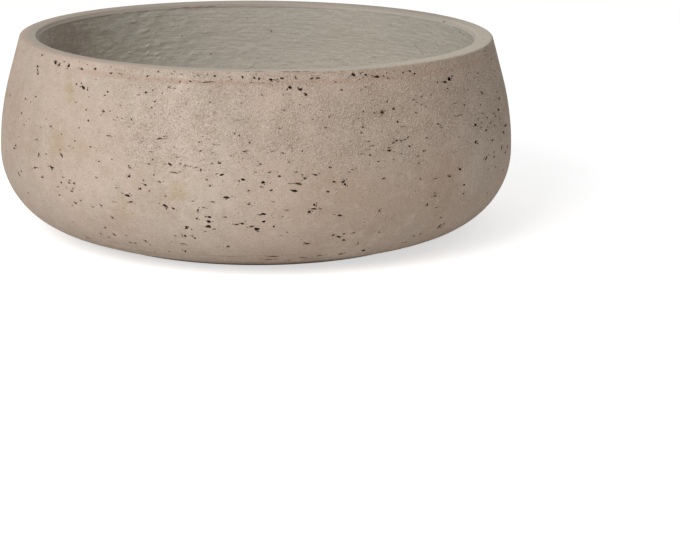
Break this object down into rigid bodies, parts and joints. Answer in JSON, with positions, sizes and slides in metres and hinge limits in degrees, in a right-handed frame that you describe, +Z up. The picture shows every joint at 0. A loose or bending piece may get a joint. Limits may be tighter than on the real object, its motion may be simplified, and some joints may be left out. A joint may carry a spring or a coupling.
{
  "type": "bowl planter",
  "caption": "Low round planter bowl of fibre cement with a full belly, a leaning-in flank, a flat lip, a sealed inside and a rubber drain plug that lifts out.",
  "frame": {"origin": "middle of the flat ring that the bowl stands on", "axes": "+Z up along the axis of the bowl, +X along the width of the plug's tab"},
  "size_m": [0.355, 0.355, 0.134],
  "materials": {
    "fibre_cement": "washed fibre cement with cast pits, matte",
    "sealing_slurry": "brushed grey waterproof slurry, matte",
    "plug_rubber": "moulded black rubber"
  },
  "bodies": {
    "bowl": {"bowl_shell": "fibre_cement", "sealing_coat": "sealing_slurry"},
    "plug": {"drain_plug": "plug_rubber"}
  },
  "joints": [
    {"name": "plug_lift", "type": "slide", "parent": "bowl", "child": "plug", "axis": [0, 0, 1], "range_m": [0, 0.17]}
  ]
}
